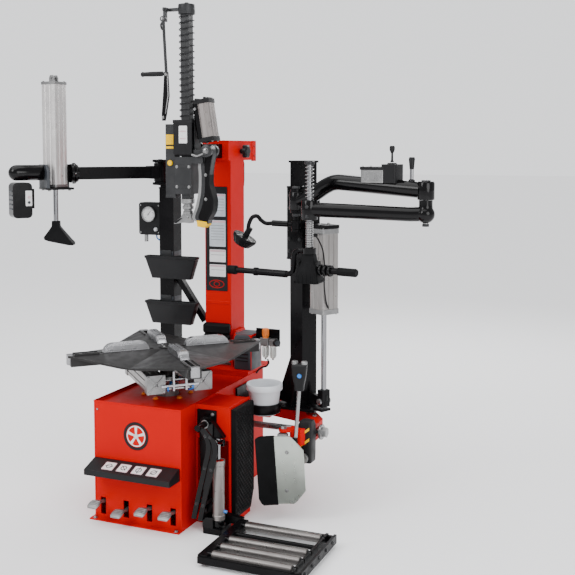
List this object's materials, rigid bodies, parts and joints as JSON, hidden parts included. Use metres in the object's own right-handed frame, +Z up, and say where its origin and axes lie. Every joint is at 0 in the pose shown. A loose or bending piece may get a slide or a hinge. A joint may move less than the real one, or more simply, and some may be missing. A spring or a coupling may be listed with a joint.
{
  "type": "tire changer",
  "caption": "Leverless tire changer with turntable, tilting column, two bead press arms, side bead breaker and wheel lift.",
  "frame": {"origin": "on the floor plane under the turntable's axis", "axes": "+X to the operator's right, +Y from the pedals towards the tilting column, +Z up"},
  "size_m": [2.0991, 1.415, 2.44],
  "materials": {
    "red_paint": "gloss red enamel, lightly worn",
    "black_paint": "satin black powder coat",
    "dark_grey_paint": "dark grey textured coat",
    "cast_grey": "dark phosphated steel",
    "steel": "machined and zinc plated",
    "chrome": "hard chrome",
    "aluminium": "extruded and anodised",
    "rubber": "moulded rubber",
    "black_plastic": "moulded, fine grain",
    "pale_plastic": "moulded, smooth",
    "blue_plastic": "moulded, gloss",
    "yellow_plastic": "moulded",
    "dark_glass": "clear bowl",
    "spring_steel": "oiled spring wire"
  },
  "bodies": {
    "base": {"cabinet": "red_paint", "control_tray": "black_plastic", "side_box": "red_paint", "bead_pad": "rubber", "gearbox": "aluminium", "motor": "dark_grey_paint", "drive_belt": "rubber", "column_mount": "red_paint", "left_post": "black_paint", "tool_bins": "black_plastic", "gauge_box": "black_paint", "right_post": "black_paint", "bucket": "pale_plastic", "filter_regulator": "steel"},
    "bead_pedal": {"bead_pedal": "steel"},
    "clamp_pedal": {"clamp_pedal": "steel"},
    "tilt_pedal": {"tilt_pedal": "steel"},
    "turn_pedal": {"turn_pedal": "steel"},
    "gearbox_pulley": {"gearbox_pulley": "aluminium"},
    "motor_pulley": {"motor_pulley": "aluminium"},
    "turntable": {"turntable": "cast_grey", "clamp_cylinders": "aluminium"},
    "jaw_1": {"jaw_1": "aluminium"},
    "jaw_2": {"jaw_2": "aluminium"},
    "jaw_3": {"jaw_3": "aluminium"},
    "jaw_4": {"jaw_4": "aluminium"},
    "column": {"column": "red_paint", "column_boot": "rubber"},
    "lock_knob": {"lock_knob": "black_plastic"},
    "slide_arm": {"slide_arm": "black_paint"},
    "tool_shaft": {"tool_shaft": "dark_grey_paint", "shaft_spring": "spring_steel", "tool_cylinder": "aluminium", "mount_head": "steel"},
    "pull_handle": {"pull_handle": "black_paint"},
    "hook_tool": {"hook_tool": "dark_grey_paint"},
    "left_arm": {"left_arm": "black_paint", "press_cylinder": "aluminium", "control_box": "black_paint"},
    "press_rod": {"press_rod": "chrome"},
    "carriage": {"carriage": "black_paint", "lift_cylinder": "aluminium"},
    "right_arm": {"right_arm": "black_paint"},
    "joystick": {"joystick": "black_plastic"},
    "forearm": {"forearm": "black_paint"},
    "plunger_rod": {"plunger_rod": "black_paint", "plunger_spring": "spring_steel"},
    "roller_bar": {"roller_bar": "black_paint"},
    "disc_arm": {"disc_arm": "black_paint"},
    "breaker_arm": {"breaker_arm": "red_paint"},
    "breaker_cylinder": {"breaker_cylinder": "aluminium"},
    "breaker_rod": {"breaker_rod": "steel"},
    "breaker_blade": {"breaker_blade": "steel"},
    "blue_button": {"blue_button": "blue_plastic"},
    "lift_frame": {"lift_frame": "black_paint"},
    "roller_1": {"roller_1": "steel"},
    "roller_2": {"roller_2": "steel"},
    "roller_3": {"roller_3": "steel"},
    "roller_4": {"roller_4": "steel"},
    "lift_plunger": {"lift_plunger": "chrome"}
  },
  "joints": [
    {"name": "bead_pedal_press", "type": "hinge", "parent": "base", "child": "bead_pedal", "pos_m": [-0.186, -0.06, 0.08], "axis": [1, 0, 0], "range_deg": [0, 7], "stiffness_Nm_per_rad": 12, "springref_deg": -20.05},
    {"name": "clamp_pedal_press", "type": "hinge", "parent": "base", "child": "clamp_pedal", "pos_m": [-0.062, -0.06, 0.08], "axis": [1, 0, 0], "range_deg": [0, 4], "stiffness_Nm_per_rad": 12, "springref_deg": -20.05},
    {"name": "tilt_pedal_press", "type": "hinge", "parent": "base", "child": "tilt_pedal", "pos_m": [0.062, -0.06, 0.08], "axis": [1, 0, 0], "range_deg": [0, 7], "stiffness_Nm_per_rad": 12, "springref_deg": -20.05},
    {"name": "turn_pedal_press", "type": "hinge", "parent": "base", "child": "turn_pedal", "pos_m": [0.186, -0.06, 0.08], "axis": [1, 0, 0], "range_deg": [0, 7], "stiffness_Nm_per_rad": 12, "springref_deg": -20.05},
    {"name": "turntable_spin", "type": "hinge", "parent": "base", "child": "turntable", "pos_m": [0, 0, 0], "axis": [0, 0, 1], "continuous": true},
    {"name": "gearbox_pulley_spin", "type": "hinge", "parent": "base", "child": "gearbox_pulley", "pos_m": [-0.06, -0.15, 0.38], "axis": [0, -1, 0], "continuous": true},
    {"name": "motor_pulley_spin", "type": "hinge", "parent": "base", "child": "motor_pulley", "pos_m": [-0.06, -0.15, 0.17], "axis": [0, -1, 0], "continuous": true},
    {"name": "jaw_1_slide", "type": "slide", "parent": "turntable", "child": "jaw_1", "axis": [0.7071, 0.7071, 0], "range_m": [-0.05, 0.11]},
    {"name": "jaw_2_slide", "type": "slide", "parent": "turntable", "child": "jaw_2", "axis": [-0.7071, 0.7071, 0], "range_m": [-0.05, 0.11]},
    {"name": "jaw_3_slide", "type": "slide", "parent": "turntable", "child": "jaw_3", "axis": [-0.7071, -0.7071, 0], "range_m": [-0.05, 0.11]},
    {"name": "jaw_4_slide", "type": "slide", "parent": "turntable", "child": "jaw_4", "axis": [0.7071, -0.7071, 0], "range_m": [-0.05, 0.11]},
    {"name": "column_tilt", "type": "hinge", "parent": "base", "child": "column", "pos_m": [0.01, 0.64, 0.65], "axis": [-1, 0, 0], "range_deg": [0, 25]},
    {"name": "lock_knob_turn", "type": "hinge", "parent": "column", "child": "lock_knob", "pos_m": [0.126, 0.655, 1.716], "axis": [1, 0, 0], "range_deg": [-180, 180]},
    {"name": "arm_slide", "type": "slide", "parent": "column", "child": "slide_arm", "axis": [0, 1, 0], "range_m": [-0.14, 0.2]},
    {"name": "shaft_slide", "type": "slide", "parent": "slide_arm", "child": "tool_shaft", "axis": [0, 0, 1], "range_m": [-0.39, 0], "deforming": ["shaft_spring"]},
    {"name": "handle_pull", "type": "hinge", "parent": "tool_shaft", "child": "pull_handle", "pos_m": [-0.113, 0.19, 2.368], "axis": [0, 1, 0], "range_deg": [0, 20]},
    {"name": "hook_swing", "type": "hinge", "parent": "tool_shaft", "child": "hook_tool", "pos_m": [0.116, 0.24, 1.718], "axis": [0, -1, 0], "range_deg": [0, 35]},
    {"name": "left_arm_swing", "type": "hinge", "parent": "base", "child": "left_arm", "pos_m": [-0.315, 0.492, 1.604], "axis": [0, 0, 1], "range_deg": [0, 54]},
    {"name": "press_slide", "type": "slide", "parent": "left_arm", "child": "press_rod", "axis": [0, 0, 1], "range_m": [-0.35, 0.08]},
    {"name": "carriage_lift", "type": "slide", "parent": "base", "child": "carriage", "axis": [0, 0, 1], "range_m": [-0.2, 0.02]},
    {"name": "right_arm_swing", "type": "hinge", "parent": "carriage", "child": "right_arm", "pos_m": [0.566, 0.262, 1.48], "axis": [0, 0, 1], "range_deg": [-30, 18]},
    {"name": "joystick_tilt", "type": "hinge", "parent": "right_arm", "child": "joystick", "pos_m": [1.07505, 0.1472, 1.67], "axis": [1, 0, 0], "range_deg": [-12, 12], "stiffness_Nm_per_rad": 0.5},
    {"name": "forearm_swing", "type": "hinge", "parent": "right_arm", "child": "forearm", "pos_m": [1.24, 0.11, 1.48], "axis": [0, 0, 1], "range_deg": [0, 110]},
    {"name": "plunger_press", "type": "slide", "parent": "forearm", "child": "plunger_rod", "axis": [0, 0, 1], "range_m": [-0.1, 0], "stiffness_N_per_m": 900, "springref_m": 0.1, "deforming": ["plunger_spring"]},
    {"name": "roller_bar_swing", "type": "hinge", "parent": "plunger_rod", "child": "roller_bar", "pos_m": [0.7, 0.095, 1.26], "axis": [0, 0, 1], "range_deg": [-15, 60]},
    {"name": "disc_arm_swing", "type": "hinge", "parent": "carriage", "child": "disc_arm", "pos_m": [0.566, 0.262, 1.364], "axis": [0, 0, 1], "range_deg": [-40, 40]},
    {"name": "breaker_swing", "type": "hinge", "parent": "base", "child": "breaker_arm", "pos_m": [0.3, 0.52, 0.389], "axis": [0, 0, -1], "range_deg": [-18, 3.5]},
    {"name": "breaker_cylinder_swing", "type": "hinge", "parent": "base", "child": "breaker_cylinder", "pos_m": [-0.185, 0.19, 0.389], "axis": [0, 0, -1], "range_deg": [-9, 2]},
    {"name": "breaker_rod_slide", "type": "slide", "parent": "breaker_cylinder", "child": "breaker_rod", "axis": [-1, 0, 0], "range_m": [-0.1, 0.02]},
    {"name": "breaker_blade_pivot", "type": "hinge", "parent": "breaker_arm", "child": "breaker_blade", "pos_m": [0.588, 0.054, 0.389], "axis": [0, 0, -1], "range_deg": [0, 90]},
    {"name": "blue_button_press", "type": "slide", "parent": "breaker_blade", "child": "blue_button", "axis": [-0.1736, 0.9848, 0], "range_m": [0, 0.0035], "stiffness_N_per_m": 600, "springref_m": -0.004},
    {"name": "lift_swing", "type": "hinge", "parent": "base", "child": "lift_frame", "pos_m": [0.3, -0.16, 0.48], "axis": [0, -1, 0], "range_deg": [0, 75]},
    {"name": "roller_1_spin", "type": "hinge", "parent": "lift_frame", "child": "roller_1", "pos_m": [0.692, -0.525, 0.044], "axis": [1, 0, 0], "continuous": true},
    {"name": "roller_2_spin", "type": "hinge", "parent": "lift_frame", "child": "roller_2", "pos_m": [0.692, -0.443, 0.044], "axis": [1, 0, 0], "continuous": true},
    {"name": "roller_3_spin", "type": "hinge", "parent": "lift_frame", "child": "roller_3", "pos_m": [0.692, -0.362, 0.044], "axis": [1, 0, 0], "continuous": true},
    {"name": "roller_4_spin", "type": "hinge", "parent": "lift_frame", "child": "roller_4", "pos_m": [0.692, -0.2, 0.044], "axis": [1, 0, 0], "continuous": true},
    {"name": "lift_plunger_slide", "type": "slide", "parent": "base", "child": "lift_plunger", "axis": [0, 0, 1], "range_m": [0, 0.125]}
  ],
  "couplings": [
    {"joint": "jaw_2_slide", "follows": "jaw_1_slide", "ratio": 1},
    {"joint": "jaw_3_slide", "follows": "jaw_1_slide", "ratio": 1},
    {"joint": "jaw_4_slide", "follows": "jaw_1_slide", "ratio": 1},
    {"joint": "gearbox_pulley_spin", "follows": "turntable_spin", "ratio": 40},
    {"joint": "motor_pulley_spin", "follows": "turntable_spin", "ratio": 117.14},
    {"joint": "breaker_cylinder_swing", "follows": "breaker_swing", "ratio": 0.44},
    {"joint": "breaker_rod_slide", "follows": "breaker_swing", "m_per_rad": 0.305},
    {"joint": "lift_plunger_slide", "follows": "lift_swing", "m_per_rad": 0.0915}
  ]
}
